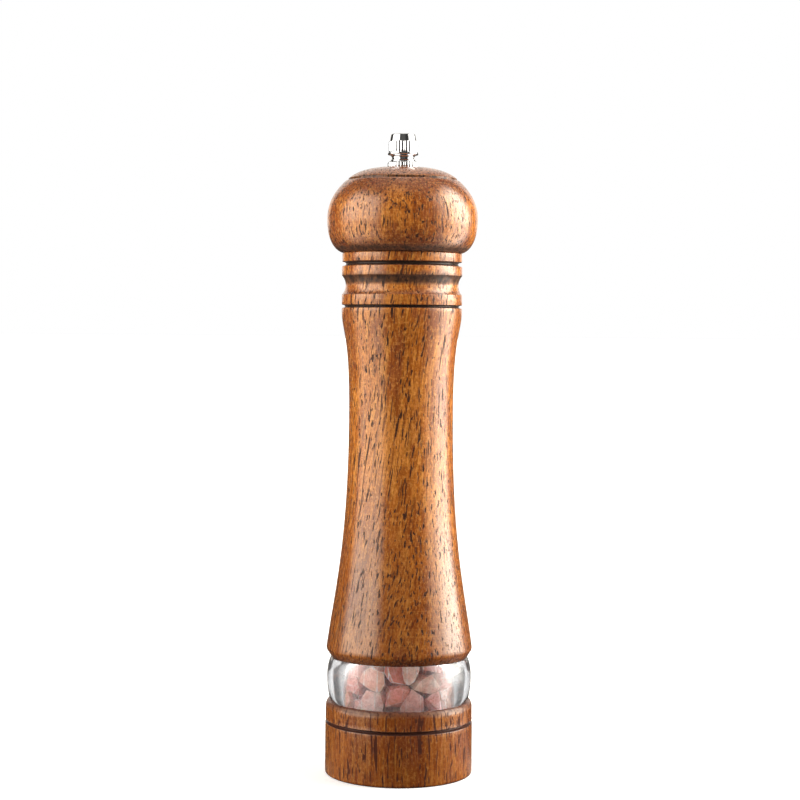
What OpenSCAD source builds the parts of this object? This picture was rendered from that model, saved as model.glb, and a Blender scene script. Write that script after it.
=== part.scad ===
// Turned wooden mill with a see-through window ring and an adjustable burr set.
// +Z is up, the origin is the centre of the flat foot, and sizes are in millimetres.
// A square spindle runs from the burrs to the nut on top. Turning the head turns the
// spindle and the rotor, and turning the nut draws the rotor up into the stator.

/* [Wooden base] */
// Radius of the base
base_r = 29.5; // [29.3:0.1:30]
// Height of the base, up to the window ring
base_h = 29.6; // [29.2:0.1:30]

/* [Window ring] */
// Height of the window ring that shows
window_h = 17.5; // [17:0.1:18]
// Radius of the bore in the window ring
window_bore_r = 22; // [21.6:0.1:22]

/* [Wooden barrel] */
// Radius where the barrel is narrowest
waist_r = 20.8; // [20.4:0.1:22]
// Radius of the pepper chamber
chamber_r = 14.5; // [14.4:0.1:15]
// Radius of the beads round the neck
neck_r = 24.0; // [23.8:0.1:24.4]
// Top of the barrel, where the head sits
neck_top = 208.6; // [207:0.2:210]

/* [Wooden head] */
// Largest radius of the head
head_r = 30; // [29.5:0.1:30.5]
// Height of the head above the barrel
head_h = 33.9; // [33.5:0.1:34.5]

/* [Spindle] */
// Side of the square spindle
spindle_side = 5; // [4.8:0.1:5]
// Pitch of the thread under the nut
thread_pitch = 0.8; // [0.7:0.1:1]

/* [Nut and ferrule] */
// Outer radius of the knurled rims
rim_r = 6.15; // [6:0.05:6.4]
// Flutes round each knurl
flutes = 30; // [24:2:36]

/* [Burrs] */
// Grooves round each burr
burr_grooves = 18; // [12:1:24]

/* [Hidden] */
$fn = 96;

wood = [0.58, 0.33, 0.14];
chrome = [0.82, 0.83, 0.85];
steel = [0.66, 0.67, 0.68];
ceramic = [0.92, 0.91, 0.88];
nylon = [0.86, 0.85, 0.80];
black_plastic = [0.10, 0.10, 0.11];
acrylic = [0.90, 0.95, 0.97, 0.35];
rock_salt = [0.90, 0.62, 0.55];

eps = 0.01;                 // lets a cut run past a face
slip = 0.05;                // gap between pieces that fit together

// levels, from the foot up
recess_top = 3.0;           // the retaining plate sits against this
plate_t = 1.0;
burr_z = recess_top + plate_t;
stator_h = 11.0;
pocket_top = 22.0;          // top of the grinder housing
window_top = base_h + window_h;
wide_bore_top = window_top + 5.5;
cone_h = window_bore_r - chamber_r;
mouth_z = neck_top - 14.5;
head_top = neck_top + head_h;

// radii round the burrs
recess_r = 23.2;
pocket_r = 18.15;
housing_r = pocket_r - slip;
stator_r = 16.0;
outlet_r = 14.0;            // mouth of the stator
hub_r = 7.0;
bushing_r = 4.6;
core_r = 6.8;
spring_r = 5.0;
spring_wire_r = 0.4;
spring_bottom = 10.0;
spring_top = 16.5;

// tongue and groove between the window ring and the wood
tongue_in = 23.2;
tongue_out = 25.2;
tongue_h = 2.5;

// head joint
mouth_r = 18.0;
tenon_r = mouth_r - 0.3;
tenon_bottom = mouth_z + 2.5;
drive_t = 1.2;
drive_screw_at = 10.5;
ferrule_shank_r = 4.2;
ferrule_shank_h = 8.0;
ferrule_h = 2.4;

// spindle
square_top = head_top - ferrule_shank_h - 1.6;
thread_r = 2.5;
thread_depth = 0.45;
spindle_bottom = 3.85;
spindle_top = head_top + 10.4;

// ---- helpers ----

function bezier(p, n) = [for (i = [0:n]) let (t = i / n, s = 1 - t)
    s*s*s*p[0] + 3*s*s*t*p[1] + 3*s*t*t*p[2] + t*t*t*p[3]];

function arc(c, r, from, to, n) = [for (i = [0:n]) let (a = from + (to - from) * i / n)
    c + r * [cos(a), sin(a)]];

// A quarter of an ellipse that leaves a vertical side at "from" and meets a flat at "to".
function eased(from, to, n) = [for (i = [0:n]) let (a = 90 * i / n)
    [to[0] + (from[0] - to[0]) * cos(a), from[1] + (to[1] - from[1]) * sin(a)]];

// A turned groove with a round bottom, cut into a side of radius r between two levels.
function groove(r, z0, z1, depth) = let (m = (z0 + z1) / 2, h = (z1 - z0) / 2)
    [for (i = [0:8]) let (a = 180 * i / 8) [r - depth * sin(a), m - h * cos(a)]];

module ring(r_out, r_in, z0, z1) {
    translate([0, 0, z0]) difference() {
        cylinder(r = r_out, h = z1 - z0);
        translate([0, 0, -eps]) cylinder(r = r_in, h = z1 - z0 + 2 * eps);
    }
}

module square_bar(side, z0, z1, corner = 0.35) {
    h = side / 2;
    c = h - corner;
    translate([0, 0, z0]) linear_extrude(z1 - z0)
        polygon([[h, -c], [h, c], [c, h], [-c, h], [-h, c], [-h, -c], [-c, -h], [c, -h]]);
}

module around(count, at, turn = 0) {
    for (i = [0:count - 1]) rotate([0, 0, turn + i * 360 / count]) translate([at, 0, 0]) children();
}

// Cross-shaped driver slot, cut upwards from z = 0.
module cross_slot(width, length, depth) {
    for (a = [0, 90]) rotate([0, 0, a])
        translate([-length / 2, -width / 2, -eps]) cube([length, width, depth + eps]);
}

// Straight knurl: ridges with a flat crest and narrow flutes between them.
module knurl(r, depth, z0, z1) {
    step = 360 / flutes;
    translate([0, 0, z0]) linear_extrude(z1 - z0) polygon([for (i = [0:flutes - 1])
        for (p = [[0, r - depth], [0.28, r], [0.72, r]])
            let (a = (i + p[0]) * step) p[1] * [cos(a), sin(a)]]);
}

// ---- wood ----

foot_edge = 1.0;
base_groove_z = 20.7;
base_groove_h = 1.3;
base_shoulder = 26.8;       // where the top edge starts to round over
upper_base_r = base_r - 0.15;

function base_outline() = concat(
    [[recess_r, 0]],
    arc([base_r - foot_edge, foot_edge], foot_edge, -90, 0, 5),
    groove(base_r - 0.05, base_groove_z, base_groove_z + base_groove_h, 1.3),
    eased([upper_base_r, base_shoulder], [upper_base_r - 1.35, base_h], 7),
    [[tongue_out, base_h], [tongue_out, base_h - tongue_h], [tongue_in, base_h - tongue_h],
     [tongue_in, base_h], [window_bore_r, base_h], [chamber_r, pocket_top],
     [pocket_r, pocket_top], [pocket_r, burr_z], [recess_r, burr_z]]);

retaining_screw_at = 20.7;

module base_ring() color(wood) difference() {
    rotate_extrude() polygon(base_outline());
    around(3, retaining_screw_at, 30) translate([0, 0, burr_z - eps]) cylinder(r = 1.3, h = 10);
}

barrel_foot_r = 27.2;
barrel_flare_z = window_top + 3.7;
waist_z = 145.2;
body_top = neck_top - 22.5;  // the long body ends here, under the lowest groove

function barrel_curve() = concat(
    bezier([[29.2, barrel_flare_z], [26.0, barrel_flare_z + 23.7],
            [waist_r, 92.5], [waist_r, waist_z]], 22),
    bezier([[waist_r, waist_z], [waist_r, waist_z + 32], [neck_r, body_top - 9.6],
            [neck_r, body_top]], 16));

cove_z0 = body_top + 5.6;
cove_z1 = body_top + 13.3;
cove_depth = 1.5;

function cove() = let (h = (cove_z1 - cove_z0) / 2, r = (h * h + cove_depth * cove_depth) / (2 * cove_depth),
                       a = asin(h / r))
    arc([neck_r - cove_depth + r, (cove_z0 + cove_z1) / 2], r, 180 + a, 180 - a, 8);

function barrel_outline() = concat(
    [[window_bore_r, window_top], [tongue_in, window_top], [tongue_in, window_top + tongue_h],
     [tongue_out, window_top + tongue_h], [tongue_out, window_top], [barrel_foot_r, window_top],
     [29.0, window_top + 2.8]],
    barrel_curve(),
    groove(neck_r - 0.1, body_top + 0.4, body_top + 1.6, 1.2),
    [[neck_r, body_top + 2.1]],
    cove(),
    [[neck_r, cove_z1 + 0.2], [neck_r, body_top + 16.6]],
    groove(neck_r - 0.15, body_top + 17.0, body_top + 18.7, 1.5),
    [[neck_r - 0.1, neck_top - 0.5], [neck_r - 0.5, neck_top], [mouth_r, neck_top],
     [mouth_r, mouth_z], [chamber_r, mouth_z], [chamber_r, wide_bore_top + cone_h],
     [window_bore_r, wide_bore_top]]);

module barrel() color(wood) rotate_extrude() polygon(barrel_outline());

equator_z = neck_top + 12.9;
cap_r = 22.5;               // the fine groove round the top of the head
cap_z = head_top - 5.4;
spindle_hole_r = 3.9;

function head_outline() = concat(
    [[spindle_hole_r, tenon_bottom], [tenon_r - 0.6, tenon_bottom], [tenon_r, tenon_bottom + 0.6],
     [tenon_r, neck_top], [24.3, neck_top]],
    bezier([[24.6, neck_top + 0.1], [27.4, neck_top + 1.4], [head_r, equator_z - 7.6],
            [head_r, equator_z]], 12),
    bezier([[head_r, equator_z], [head_r, equator_z + 2.3], [head_r, cap_z - 6.5], [cap_r, cap_z]], 14),
    [[cap_r - 0.8, cap_z - 0.4], [cap_r - 0.9, cap_z + 0.6]],
    bezier([[cap_r - 0.9, cap_z + 0.8], [18.5, cap_z + 3.6], [13.5, head_top - 0.4],
            [rim_r + 0.4, head_top]], 10),
    [[ferrule_shank_r, head_top], [ferrule_shank_r, square_top + 0.6],
     [spindle_hole_r, square_top + 0.6]]);

module head() color(wood) difference() {
    rotate_extrude() polygon(head_outline());
    around(2, drive_screw_at) translate([0, 0, tenon_bottom - eps]) cylinder(r = 1.5, h = 12);
}

// ---- window and contents ----

function window_outline() = concat(
    [[window_bore_r, base_h], [tongue_in + slip, base_h], [tongue_in + slip, base_h - tongue_h + slip],
     [tongue_out - slip, base_h - tongue_h + slip], [tongue_out - slip, base_h]],
    bezier([[27.6, base_h], [29.0, base_h + 4], [29.8, window_top - 4], [27.1, window_top]], 16),
    [[tongue_out - slip, window_top], [tongue_out - slip, window_top + tongue_h - slip],
     [tongue_in + slip, window_top + tongue_h - slip], [tongue_in + slip, window_top],
     [window_bore_r, window_top]]);

module window_ring() color(acrylic) rotate_extrude() polygon(window_outline());

phi = (1 + sqrt(5)) / 2;
ico_points = [[0, 1, phi], [0, -1, phi], [0, 1, -phi], [0, -1, -phi], [1, phi, 0], [-1, phi, 0],
              [1, -phi, 0], [-1, -phi, 0], [phi, 0, 1], [phi, 0, -1], [-phi, 0, 1], [-phi, 0, -1]];
ico_faces = [[0, 8, 1], [0, 1, 10], [0, 10, 5], [0, 5, 4], [0, 4, 8], [1, 8, 6], [1, 6, 7],
             [1, 7, 10], [2, 3, 9], [2, 9, 4], [2, 4, 5], [2, 5, 11], [2, 11, 3], [3, 11, 7],
             [3, 7, 6], [3, 6, 9], [4, 9, 8], [5, 10, 11], [6, 8, 9], [7, 11, 10]];

// A rough lump that stays inside a ball of radius r.
module crystal(r, seed) {
    reach = rands(0.72, 0.98, 12, seed);
    turn = rands(0, 360, 3, seed + 500);
    rotate(turn) polyhedron([for (i = [0:11]) r * reach[i] * ico_points[i] / norm(ico_points[0])],
                            ico_faces);
}

module crystal_layer(count, at, z, r, seed) {
    for (i = [0:count - 1]) rotate([0, 0, (i + (seed % 2) / 2) * 360 / count])
        translate([at, 0, z]) crystal(r, seed * 40 + i);
}

outer_lump_r = 4.85;
inner_lump_r = 3.7;

module salt_crystals() color(rock_salt) {
    for (k = [0:2]) crystal_layer(10, 16.6, base_h + 2.3 + 8.5 * k, outer_lump_r, k + 1);
    for (k = [0:4]) crystal_layer(6, 7.9, pocket_top + 4.8 + 6.7 * k, inner_lump_r, k + 11);
}

// ---- nut, ferrule and spindle ----

module adjusting_nut() color(chrome) {
    z0 = head_top + ferrule_h;
    barrel_z = z0 + 3.5;
    barrel_top = z0 + 7.8;
    nut_top = z0 + 10.8;
    barrel_r = 5.75;
    difference() {
        union() {
            rotate_extrude() polygon(concat(
                [[0, z0], [4.9, z0]],
                arc([5.6, z0 + 1.3], 1.1, 230, 130, 8),
                [[rim_r - 0.2, z0 + 2.5], [rim_r, z0 + 2.8], [rim_r, z0 + 3.2], [rim_r - 0.3, barrel_z],
                 [barrel_r - 0.5, barrel_z], [barrel_r - 0.5, barrel_top],
                 [barrel_r - 0.1, barrel_top], [4.9, nut_top - 0.25], [4.6, nut_top], [0, nut_top]]));
            intersection() {
                knurl(barrel_r, 0.4, barrel_z - 0.1, barrel_top);
                translate([0, 0, barrel_z - 0.1]) cylinder(r1 = barrel_r + 0.6, r2 = barrel_r - 0.02,
                                                           h = barrel_top - barrel_z + 0.1);
            }
        }
        translate([0, 0, z0 - eps]) cylinder(r = thread_r + 0.08, h = nut_top - z0 - 1.1);
    }
}

module top_ferrule() color(chrome) difference() {
    union() {
        intersection() {
            knurl(rim_r, 0.35, head_top, head_top + ferrule_h);
            rotate_extrude() polygon([[0, head_top], [rim_r, head_top], [rim_r, head_top + 1.7],
                                      [rim_r - 0.7, head_top + ferrule_h], [0, head_top + ferrule_h]]);
        }
        translate([0, 0, head_top - ferrule_shank_h]) cylinder(r = ferrule_shank_r - slip,
                                                               h = ferrule_shank_h + eps);
    }
    translate([0, 0, head_top - ferrule_shank_h - eps])
        cylinder(r = thread_r + 0.15, h = ferrule_shank_h + ferrule_h + 3 * eps);
}

thread_z = head_top - 2;
thread_turns = floor((spindle_top - 0.5 - thread_z) / thread_pitch);

function thread_outline() = concat(
    [[0, square_top - 1], [thread_r - 0.1, square_top - 1], [thread_r - 0.1, thread_z]],
    [for (i = [0:thread_turns - 1]) for (p = [[thread_r - thread_depth, 0.25], [thread_r, 0.65],
                                              [thread_r, 0.85]])
        [p[0], thread_z + (i + p[1]) * thread_pitch]],
    [[thread_r - 0.6, spindle_top], [0, spindle_top]]);

screw_hole_r = 1.5;

module spindle() color(steel) difference() {
    union() {
        square_bar(spindle_side, spindle_bottom, square_top);
        rotate_extrude() polygon(thread_outline());
    }
    translate([0, 0, spindle_bottom - eps]) cylinder(r = screw_hole_r, h = 10);
}

module drive_plate() color(steel) difference() {
    translate([0, 0, tenon_bottom - drive_t]) cylinder(r = 15, h = drive_t);
    square_bar(spindle_side + 0.3, tenon_bottom - drive_t - eps, tenon_bottom + eps, 0.2);
    around(2, drive_screw_at) translate([0, 0, tenon_bottom - drive_t - eps])
        cylinder(r1 = 3.0, r2 = 1.75, h = drive_t + 2 * eps);
}

// Countersunk screw with its head down at z = 0 and its point up.
module wood_screw(head_r, shank_r, head_h, length) {
    difference() {
        rotate_extrude() polygon([[0, 0], [head_r, 0], [head_r - 0.1, 0.15], [shank_r, head_h],
                                  [shank_r, length - 2], [0, length]]);
        cross_slot(0.7, head_r * 1.3, 0.8);
    }
}

module drive_plate_screws() color(steel) around(2, drive_screw_at)
    translate([0, 0, tenon_bottom - drive_t]) wood_screw(2.85, 1.45, 1.25, 11);

// ---- burr set ----

module grinder_housing() color(black_plastic) difference() {
    union() {
        ring(housing_r, stator_r + slip, burr_z, burr_z + stator_h + slip);
        ring(housing_r, outlet_r, burr_z + stator_h + slip, pocket_top);
        translate([0, 0, pocket_top - 4.5]) cylinder(r = hub_r, h = 4.5);
        around(3, 0, 30) translate([0, -1.6, pocket_top - 4]) cube([outlet_r + 1, 3.2, 4]);
    }
    translate([0, 0, burr_z]) cylinder(r = bushing_r + slip, h = pocket_top);
}

module spindle_bushing() color(nylon) difference() {
    union() {
        translate([0, 0, spring_top]) cylinder(r = hub_r - 0.6, h = 0.45);
        translate([0, 0, spring_top]) cylinder(r = bushing_r, h = 6.1);
    }
    square_bar(spindle_side + 0.1, spring_top - eps, spring_top + 6.1 + eps, 0.3);
}

module thrust_washer() color(steel)
    ring(hub_r - 0.7, bushing_r + 0.1, spring_top + 0.5, pocket_top - 4.55);

spring_turns = 6;
dead_turns = 0.8;           // lie flat at each end

function spring_height(turn) = let (wire = 2.05 * spring_wire_r,
        low = spring_bottom + spring_wire_r,
        rise = spring_top - spring_bottom - 2 * spring_wire_r - 2 * wire)
    low + wire * min(1, turn / dead_turns)
        + rise * max(0, min(1, (turn - dead_turns) / (spring_turns - 2 * dead_turns)))
        + wire * max(0, (turn - spring_turns + dead_turns) / dead_turns);

module spring() color(steel) {
    sides = 8;
    steps = 24;
    rings = spring_turns * steps;
    points = [for (i = [0:rings]) for (k = [0:sides - 1])
        let (a = i * 360 / steps, b = k * 360 / sides, r = spring_r + spring_wire_r * cos(b))
            [r * cos(a), r * sin(a), spring_height(i / steps) + spring_wire_r * sin(b)]];
    walls = [for (i = [0:rings - 1]) for (k = [0:sides - 1])
        let (a = i * sides + k, b = i * sides + (k + 1) % sides)
            for (f = [[a, b, b + sides], [a, b + sides, a + sides]]) f];
    caps = [[for (k = [0:sides - 1]) sides - 1 - k], [for (k = [0:sides - 1]) rings * sides + k]];
    polyhedron(points, concat(walls, caps));
}

stator_slope = 0.3625;
throat_z = burr_z + 8;
entry_r = 13.8;

module burr_cuts(z, r, lean, depth, length, twist) {
    around(burr_grooves, r) translate([0, 0, z]) rotate([twist, lean, 0])
        rotate([0, 0, 45]) translate([-depth / 2, -depth / 2, 0]) cube([depth, depth, length]);
}

module stator() color(ceramic) difference() {
    rotate_extrude() polygon([[outlet_r, burr_z], [stator_r, burr_z], [stator_r, burr_z + stator_h],
                              [entry_r, burr_z + stator_h], [outlet_r - 8 * stator_slope, throat_z]]);
    burr_cuts(burr_z - 0.5, outlet_r + 0.15, -20, 1.1, 13, 14);
}

rotor_z = burr_z + 0.8;
rotor_h = 9.2;
rotor_foot_r = 13.1;

module rotor() color(ceramic) difference() {
    rotate_extrude() polygon([[core_r + slip, rotor_z], [rotor_foot_r, rotor_z],
                              [rotor_foot_r - 0.95, rotor_z + 2.6], [8.6, rotor_z + rotor_h],
                              [core_r + slip, rotor_z + rotor_h]]);
    burr_cuts(rotor_z - 0.5, rotor_foot_r + 0.1, -26, 1.2, 13, -14);
    around(3, core_r) translate([-1, -1.05, rotor_z - eps]) cube([1.85, 2.1, rotor_h + 1]);
}

module rotor_core() color(nylon) difference() {
    union() {
        translate([0, 0, rotor_z - 1]) cylinder(r = 9, h = 1 - slip);
        translate([0, 0, rotor_z - 1]) cylinder(r = core_r, h = rotor_h + 1.2);
        around(3, core_r) translate([-1, -1, rotor_z - 0.5]) cube([1.7, 2, rotor_h]);
    }
    translate([0, 0, spring_bottom]) cylinder(r = spring_r + 0.9, h = 10);
    square_bar(spindle_side + 0.1, rotor_z - 1 - eps, spring_bottom + 1, 0.3);
}

module rotor_washer() color(steel) ring(5.5, 1.7, rotor_z - 2, rotor_z - 1);

module rotor_screw() color(steel) difference() {
    rotate_extrude() polygon([[0, rotor_z - 3.6], [2.0, rotor_z - 3.6], [2.7, rotor_z - 3.3],
                              [3.0, rotor_z - 2.8], [3.0, rotor_z - 2], [screw_hole_r - slip, rotor_z - 2],
                              [screw_hole_r - slip, rotor_z + 6.5], [0, rotor_z + 7.5]]);
    translate([0, 0, rotor_z - 3.6]) cross_slot(0.8, 3.6, 1.2);
}

module retaining_plate() color(steel) difference() {
    ring(recess_r - 0.2, outlet_r + 0.6, recess_top, burr_z);
    around(3, retaining_screw_at, 30) translate([0, 0, recess_top - eps])
        cylinder(r1 = 2.15, r2 = 1.4, h = plate_t + 2 * eps);
}

module retaining_screws() color(steel) around(3, retaining_screw_at, 30)
    translate([0, 0, recess_top]) wood_screw(2.0, 1.25, 1.0, 9.5);

adjusting_nut();
top_ferrule();
head();
drive_plate();
drive_plate_screws();
spindle();
barrel();
window_ring();
base_ring();
grinder_housing();
spindle_bushing();
thrust_washer();
spring();
stator();
rotor();
rotor_core();
rotor_washer();
rotor_screw();
retaining_plate();
retaining_screws();
salt_crystals();
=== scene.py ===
"""Looks of the wooden pepper mill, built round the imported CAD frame."""
import math

import bmesh
import bpy
import numpy as np
from mathutils import Matrix, Vector, noise


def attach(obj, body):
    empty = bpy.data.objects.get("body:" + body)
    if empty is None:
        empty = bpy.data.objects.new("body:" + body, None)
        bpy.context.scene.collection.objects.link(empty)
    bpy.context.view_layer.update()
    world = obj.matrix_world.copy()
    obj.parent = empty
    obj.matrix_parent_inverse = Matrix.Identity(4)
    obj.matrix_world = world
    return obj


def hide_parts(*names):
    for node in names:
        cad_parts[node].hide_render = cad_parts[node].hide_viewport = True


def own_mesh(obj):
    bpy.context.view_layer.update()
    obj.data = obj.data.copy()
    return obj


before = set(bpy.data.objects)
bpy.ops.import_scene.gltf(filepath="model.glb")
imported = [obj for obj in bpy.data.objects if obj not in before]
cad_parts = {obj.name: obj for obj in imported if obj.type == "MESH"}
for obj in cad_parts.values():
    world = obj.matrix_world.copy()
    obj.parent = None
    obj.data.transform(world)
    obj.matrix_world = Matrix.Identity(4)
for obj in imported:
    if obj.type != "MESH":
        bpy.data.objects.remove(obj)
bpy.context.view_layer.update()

MM = 0.001

# ---------------------------------------------------------------- outlines


def bezier(p0, p1, p2, p3, n):
    """Points along a cubic curve, both ends included."""
    pts = [np.array(p, float) for p in (p0, p1, p2, p3)]
    out = []
    for i in range(n + 1):
        t = i / n
        s = 1 - t
        q = s**3 * pts[0] + 3 * s * s * t * pts[1] + 3 * s * t * t * pts[2] + t**3 * pts[3]
        out.append((q[0], q[1]))
    return out


def arc(cx, cz, r, start, end, n):
    """Points on an arc, angles in degrees."""
    out = []
    for i in range(n + 1):
        a = math.radians(start + (end - start) * i / n)
        out.append((cx + r * math.cos(a), cz + r * math.sin(a)))
    return out


def eased(start, end, n):
    """A quarter of an ellipse from a vertical side to a flat."""
    out = []
    for i in range(n + 1):
        a = math.pi / 2 * i / n
        out.append((end[0] + (start[0] - end[0]) * math.cos(a),
                    start[1] + (end[1] - start[1]) * math.sin(a)))
    return out


def groove(r, low, high, depth, n=12):
    """A turned groove with a round bottom."""
    mid, half = (low + high) / 2, (high - low) / 2
    return [(r - depth * math.sin(math.pi * i / n), mid - half * math.cos(math.pi * i / n))
            for i in range(n + 1)]


def soften(points, size, closed=True, limit=24):
    """Rounds every corner sharper than limit degrees."""
    n = len(points)
    out = []
    for i, p in enumerate(points):
        if not closed and i in (0, n - 1):
            out.append(p)
            continue
        p = np.array(p, float)
        a = np.array(points[i - 1], float) - p
        b = np.array(points[(i + 1) % n], float) - p
        la, lb = np.linalg.norm(a), np.linalg.norm(b)
        turn = math.degrees(math.acos(max(-1.0, min(1.0, -float(a @ b) / (la * lb)))))
        if turn < limit:
            out.append(tuple(p))
            continue
        cut = min(size, 0.4 * la, 0.4 * lb)
        start, end = p + a / la * cut, p + b / lb * cut
        for t in (0.0, 0.33, 0.67, 1.0):
            q = (1 - t) ** 2 * start + 2 * t * (1 - t) * p + t * t * end
            out.append(tuple(q))
    return out


# ---------------------------------------------------------------- meshes


def finish_mesh(name, verts, faces, materials, face_material=None, sharp=35):
    """Makes an object from points in millimetres, with its faces turned outwards."""
    mesh = bpy.data.meshes.new(name)
    mesh.from_pydata([(x * MM, y * MM, z * MM) for x, y, z in verts], [], faces)
    for m in materials:
        mesh.materials.append(m)
    if face_material is not None:
        mesh.polygons.foreach_set("material_index", face_material)
    bm = bmesh.new()
    bm.from_mesh(mesh)
    if bm.calc_volume(signed=True) < 0:
        bmesh.ops.reverse_faces(bm, faces=bm.faces)
    for f in bm.faces:
        f.smooth = True
    for e in bm.edges:
        if len(e.link_faces) == 2 and e.calc_face_angle(0) > math.radians(sharp):
            e.smooth = False
    bm.to_mesh(mesh)
    bm.free()
    mesh.update()
    obj = bpy.data.objects.new(name, mesh)
    bpy.context.scene.collection.objects.link(obj)
    return obj


def spin(name, rows, materials, count=192, closed=True, radius=None, inner=None, soot_and_shade=None):
    """Turns an outline of (r, z) rows round Z. radius(i, r, z, angle) may change the radius.
    inner(i) is true where a face takes the second material. The darkening from burnt lines and painted
    shade, given as a function of (r, z), is stored on the points."""
    verts, faces, which, rings = [], [], [], []
    for i, (r, z) in enumerate(rows):
        if r < 1e-6:
            rings.append([len(verts)])
            verts.append((0, 0, z))
            continue
        ring = []
        for k in range(count):
            a = 2 * math.pi * k / count
            rr = radius(i, r, z, a) if radius else r
            ring.append(len(verts))
            verts.append((rr * math.cos(a), rr * math.sin(a), z))
        rings.append(ring)
    for i in range(len(rings) if closed else len(rings) - 1):
        a, b = rings[i], rings[(i + 1) % len(rings)]
        for k in range(count):
            n = (k + 1) % count
            if len(a) == 1 and len(b) == 1:
                continue
            if len(a) == 1:
                faces.append((a[0], b[n], b[k]))
            elif len(b) == 1:
                faces.append((a[k], a[n], b[0]))
            else:
                faces.append((a[k], a[n], b[n], b[k]))
            which.append(1 if inner and inner(i) else 0)
    obj = finish_mesh(name, verts, faces, materials, which)
    if soot_and_shade:
        layer = obj.data.attributes.new("soot_and_shade", "FLOAT", "POINT")
        layer.data.foreach_set("value", [soot_and_shade(math.hypot(x, y), z) for x, y, z in verts])
    return obj


# ---------------------------------------------------------------- node helpers


def add(tree, kind, sets=None, inputs=None, out=0):
    """Adds a node, sets its properties, fills or links its inputs, and returns an output."""
    n = tree.nodes.new(kind)
    for key, value in (sets or {}).items():
        setattr(n, key, value)
    for key, value in (inputs or {}).items():
        if isinstance(value, bpy.types.NodeSocket):
            tree.links.new(value, n.inputs[key])
        else:
            n.inputs[key].default_value = value
    return n.outputs[out] if out is not None else n


def math_node(tree, op, *values, clamp=False):
    return add(tree, "ShaderNodeMath", {"operation": op, "use_clamp": clamp},
               dict(enumerate(values)))


def noise_node(tree, vector, scale, detail=2.0, rough=0.5, distort=0.0):
    return add(tree, "ShaderNodeTexNoise", {},
               {"Vector": vector, "Scale": scale, "Detail": detail, "Roughness": rough,
                "Distortion": distort})


def ramp(tree, value, low, high, to_low=0.0, to_high=1.0):
    """A smooth step from to_low at low to to_high at high."""
    return add(tree, "ShaderNodeMapRange",
               {"interpolation_type": "SMOOTHSTEP", "clamp": True},
               {"Value": value, "From Min": low, "From Max": high, "To Min": to_low,
                "To Max": to_high})


def mix(tree, factor, a, b):
    """Colour a at factor 0, b at 1."""
    n = tree.nodes.new("ShaderNodeMix")
    n.data_type = "RGBA"
    for key, value in ((0, factor), (6, a), (7, b)):
        if isinstance(value, bpy.types.NodeSocket):
            tree.links.new(value, n.inputs[key])
        else:
            n.inputs[key].default_value = value if key == 0 or len(value) == 4 else (*value, 1)
    return n.outputs[2]


def material(name):
    """A new material with a Principled shader, and its tree."""
    m = bpy.data.materials.new(name)
    m.use_nodes = True
    tree = m.node_tree
    tree.nodes.clear()
    shader = tree.nodes.new("ShaderNodeBsdfPrincipled")
    out = tree.nodes.new("ShaderNodeOutputMaterial")
    tree.links.new(shader.outputs[0], out.inputs[0])
    return m, tree, shader


def place(tree, stretch, offset=(0, 0, 0), lean=(0.0, 0.0)):
    """Object coordinates in millimetres, moved, leant with height, and stretched."""
    co = add(tree, "ShaderNodeTexCoord", out=3)
    split = add(tree, "ShaderNodeSeparateXYZ", {}, {0: co}, out=None)
    x = math_node(tree, "MULTIPLY_ADD", split.outputs[2], lean[0], split.outputs[0])
    y = math_node(tree, "MULTIPLY_ADD", split.outputs[2], lean[1], split.outputs[1])
    joined = add(tree, "ShaderNodeCombineXYZ", {}, {0: x, 1: y, 2: split.outputs[2]})
    return add(tree, "ShaderNodeMapping", {}, {
        "Vector": joined, "Location": offset, "Scale": [1000.0 / s for s in stretch]})


# ---------------------------------------------------------------- materials


LIGHT, MID, DARK = (0.86, 0.345, 0.062), (0.58, 0.170, 0.018), (0.29, 0.060, 0.007)
CLOUD_DARK, CLOUD_GOLD = (0.30, 0.082, 0.036), (0.88, 0.33, 0.060)
SPECK_GOLD, SPECK_DARK = (0.98, 0.45, 0.12), (0.16, 0.034, 0.006)
FINE_DARK, LINE_DARK, FOOT_DARK = (0.20, 0.045, 0.006), (0.14, 0.026, 0.005), (0.10, 0.016, 0.004)
END_DARK, END_FLECK = (0.13, 0.032, 0.018), (0.50, 0.19, 0.070)
LATHE_DARK, LATHE_GOLD = (0.18, 0.045, 0.008), (0.90, 0.38, 0.09)
PORE, SOOT_AND_SHADE = (0.034, 0.006, 0.002), (0.014, 0.004, 0.003)
DEEPER, PALER = (0.10, 0.012, 0.004), (0.72, 0.46, 0.25)


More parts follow.
